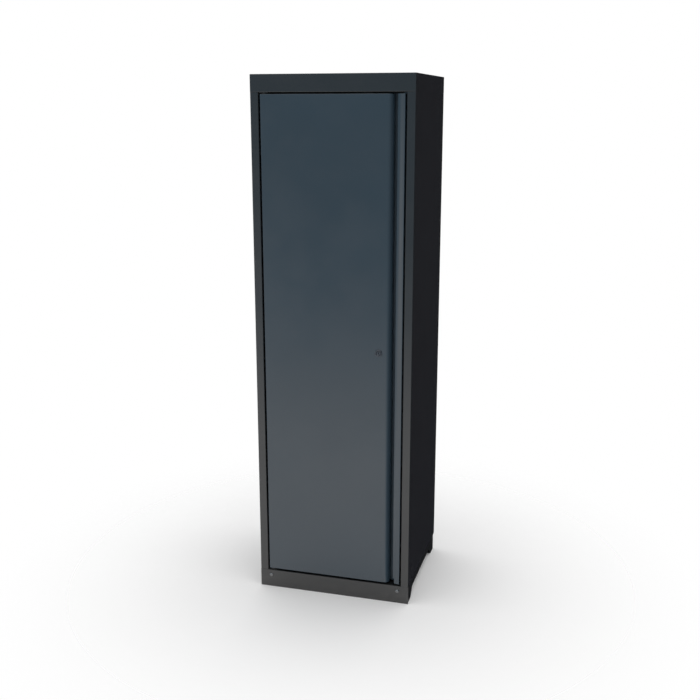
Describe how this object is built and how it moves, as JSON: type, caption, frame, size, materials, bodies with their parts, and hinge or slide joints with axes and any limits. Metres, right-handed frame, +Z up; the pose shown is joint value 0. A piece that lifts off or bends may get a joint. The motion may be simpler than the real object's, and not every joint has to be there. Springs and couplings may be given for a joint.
{
  "type": "tool locker",
  "caption": "Tall narrow free-standing steel tool locker: one inset door with a rolled full-height pull and key lock, adjustable shelves inside, low feet behind a kick plate.",
  "frame": {"origin": "on the floor under the middle of the cabinet", "axes": "+Z up, -Y out of the door, +X towards the lock side as seen from the front"},
  "size_m": [0.457, 0.3993, 1.5],
  "materials": {
    "carcass_paint": "charcoal powder coat, fine texture, satin",
    "door_paint": "slate blue-grey powder coat, satin",
    "zinc": "bright zinc plate on pressed steel",
    "dark_steel": "dark steel screw heads",
    "lock_nickel": "black nickel plate on the lock",
    "nylon": "black nylon",
    "rubber": "moulded black rubber",
    "black_plastic": "moulded black plastic"
  },
  "bodies": {
    "carcass": {"right_side_panel": "carcass_paint", "left_side_panel": "carcass_paint", "back_panel": "carcass_paint", "top_cap": "carcass_paint", "door_header": "carcass_paint", "upper_strike_plate": "carcass_paint", "base_frame": "carcass_paint", "kick_plate": "carcass_paint", "left_kick_screw": "dark_steel", "right_kick_screw": "dark_steel", "left_kick_nut": "zinc", "right_kick_nut": "zinc", "front_left_upright": "carcass_paint", "front_right_upright": "carcass_paint", "rear_left_upright": "carcass_paint", "rear_right_upright": "carcass_paint", "shelf_1": "carcass_paint", "shelf_2": "carcass_paint", "shelf_3": "carcass_paint", "shelf_1_front_left_clip": "zinc", "shelf_1_front_right_clip": "zinc", "shelf_1_rear_left_clip": "zinc", "shelf_1_rear_right_clip": "zinc", "shelf_2_front_left_clip": "zinc", "shelf_2_front_right_clip": "zinc", "shelf_2_rear_left_clip": "zinc", "shelf_2_rear_right_clip": "zinc", "shelf_3_front_left_clip": "zinc", "shelf_3_front_right_clip": "zinc", "shelf_3_rear_left_clip": "zinc", "shelf_3_rear_right_clip": "zinc", "lower_pivot_plate": "carcass_paint", "upper_pivot_plate": "carcass_paint", "lower_pivot_pin": "zinc", "upper_pivot_pin": "zinc", "lower_door_buffer": "rubber", "middle_door_buffer": "rubber", "upper_door_buffer": "rubber", "magnetic_catch": "black_plastic"},
    "door": {"door_skin": "door_paint", "pull_rail": "door_paint", "door_stiffener": "door_paint", "lower_pivot_bush": "nylon", "upper_pivot_bush": "nylon", "lock_body": "lock_nickel", "lock_nut": "zinc", "upper_rod_guide": "zinc", "lower_rod_guide": "zinc"},
    "lock_plug": {"lock_plug": "lock_nickel", "lock_cam": "zinc", "lock_cam_screw": "zinc"},
    "upper_rod": {"upper_lock_rod": "zinc"},
    "lower_rod": {"lower_lock_rod": "zinc"}
  },
  "joints": [
    {"name": "door_swing", "type": "hinge", "parent": "carcass", "child": "door", "pos_m": [-0.1907, -0.19, 0.75], "axis": [0, 0, -1], "range_deg": [0, 110]},
    {"name": "lock_turn", "type": "hinge", "parent": "door", "child": "lock_plug", "pos_m": [0.1339, -0.198, 0.752], "axis": [0, -1, 0], "range_deg": [0, 90]},
    {"name": "upper_rod_slide", "type": "slide", "parent": "door", "child": "upper_rod", "axis": [0, 0, 1], "range_m": [0, 0.0198]},
    {"name": "lower_rod_slide", "type": "slide", "parent": "door", "child": "lower_rod", "axis": [0, 0, -1], "range_m": [0, 0.0198]}
  ],
  "couplings": [
    {"joint": "lock_turn", "follows": "upper_rod_slide", "rad_per_m": 79.3},
    {"joint": "lower_rod_slide", "follows": "upper_rod_slide", "ratio": 1}
  ]
}
